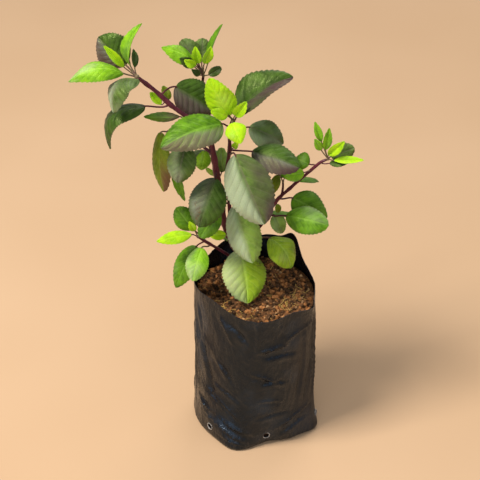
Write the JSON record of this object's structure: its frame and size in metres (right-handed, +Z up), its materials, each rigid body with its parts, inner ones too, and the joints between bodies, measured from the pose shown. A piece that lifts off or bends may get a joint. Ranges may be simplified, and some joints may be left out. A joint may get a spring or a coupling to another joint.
{
  "type": "potted holy basil plant",
  "caption": "Young holy basil plant with toothed green and purple leaves on dark branching stems, growing in compost in a black film nursery bag that stands upright.",
  "frame": {"origin": "centre of the nursery bag's flat underside", "axes": "+Z up along the plant, the front of the plant faces -Y, the longest side shoot leans to -X"},
  "size_m": [0.2073, 0.1015, 0.3504],
  "materials": {
    "bag_film": "crumpled black film, satin, soft blue-grey highlights",
    "compost": "moist crumbly red-brown compost with pale straw bits",
    "stem_purple": "dark purple green-wood stem with fine pale hairs",
    "leaf_dark": "dark green leaf with purple flush and sunk veins",
    "leaf_grey": "grey-green leaf with purple veins and a soft sheen",
    "leaf_green": "mid green leaf with sunk veins",
    "leaf_fresh": "fresh green leaf",
    "leaf_pale": "pale grey-green leaf",
    "leaf_yellow": "yellow-green older leaf with brown spots",
    "leaf_lime": "bright lime young leaf",
    "leaf_olive": "olive green leaf"
  },
  "bodies": {
    "root": {"grow_bag": "bag_film", "potting_soil": "compost", "branched_stem": "stem_purple", "shoot_tip_left": "leaf_fresh", "shoot_tip_top": "leaf_fresh", "shoot_tip_centre": "leaf_lime", "shoot_tip_right": "leaf_fresh", "shoot_tip_low_left": "leaf_lime", "shoot_tip_mid_left": "leaf_olive", "shoot_tip_right_side": "leaf_green", "leaf_left_droop": "leaf_grey", "leaf_left_arched": "leaf_dark", "leaf_left_behind": "leaf_dark", "bud_left_upper": "leaf_olive", "bud_left_lower": "leaf_lime", "leaf_left_edge_on": "leaf_green", "leaf_centre_right": "leaf_dark", "leaf_centre_left": "leaf_green", "leaf_right_upper": "leaf_grey", "leaf_right_middle": "leaf_dark", "leaf_front_large": "leaf_grey", "leaf_front_left": "leaf_dark", "leaf_front_lower": "leaf_pale", "leaf_front_low_broad": "leaf_yellow", "leaf_right_over_soil": "leaf_yellow", "leaf_right_low_pale": "leaf_pale", "bud_right_low": "leaf_olive", "leaf_right_round_back": "leaf_green", "leaf_right_round_front": "leaf_green", "leaf_right_thin": "leaf_dark", "leaf_right_high": "leaf_green", "leaf_right_small_round": "leaf_fresh", "leaf_low_left_back": "leaf_green", "leaf_low_left_upper": "leaf_green", "leaf_low_centre": "leaf_lime", "leaf_low_left_front": "leaf_fresh", "leaf_low_left_outer": "leaf_green", "leaf_mid_left_front": "leaf_grey", "leaf_mid_left_narrow": "leaf_green", "leaf_mid_left_bright": "leaf_fresh", "leaf_mid_behind_lower": "leaf_fresh", "leaf_mid_between": "leaf_pale", "bud_centre": "leaf_lime", "bud_main": "leaf_lime", "leaf_back_high": "leaf_grey", "leaf_back_centre": "leaf_dark", "leaf_back_left": "leaf_green", "leaf_back_low": "leaf_pale", "leaf_back_right": "leaf_green", "leaf_back_right_high": "leaf_green"}
  },
  "joints": []
}
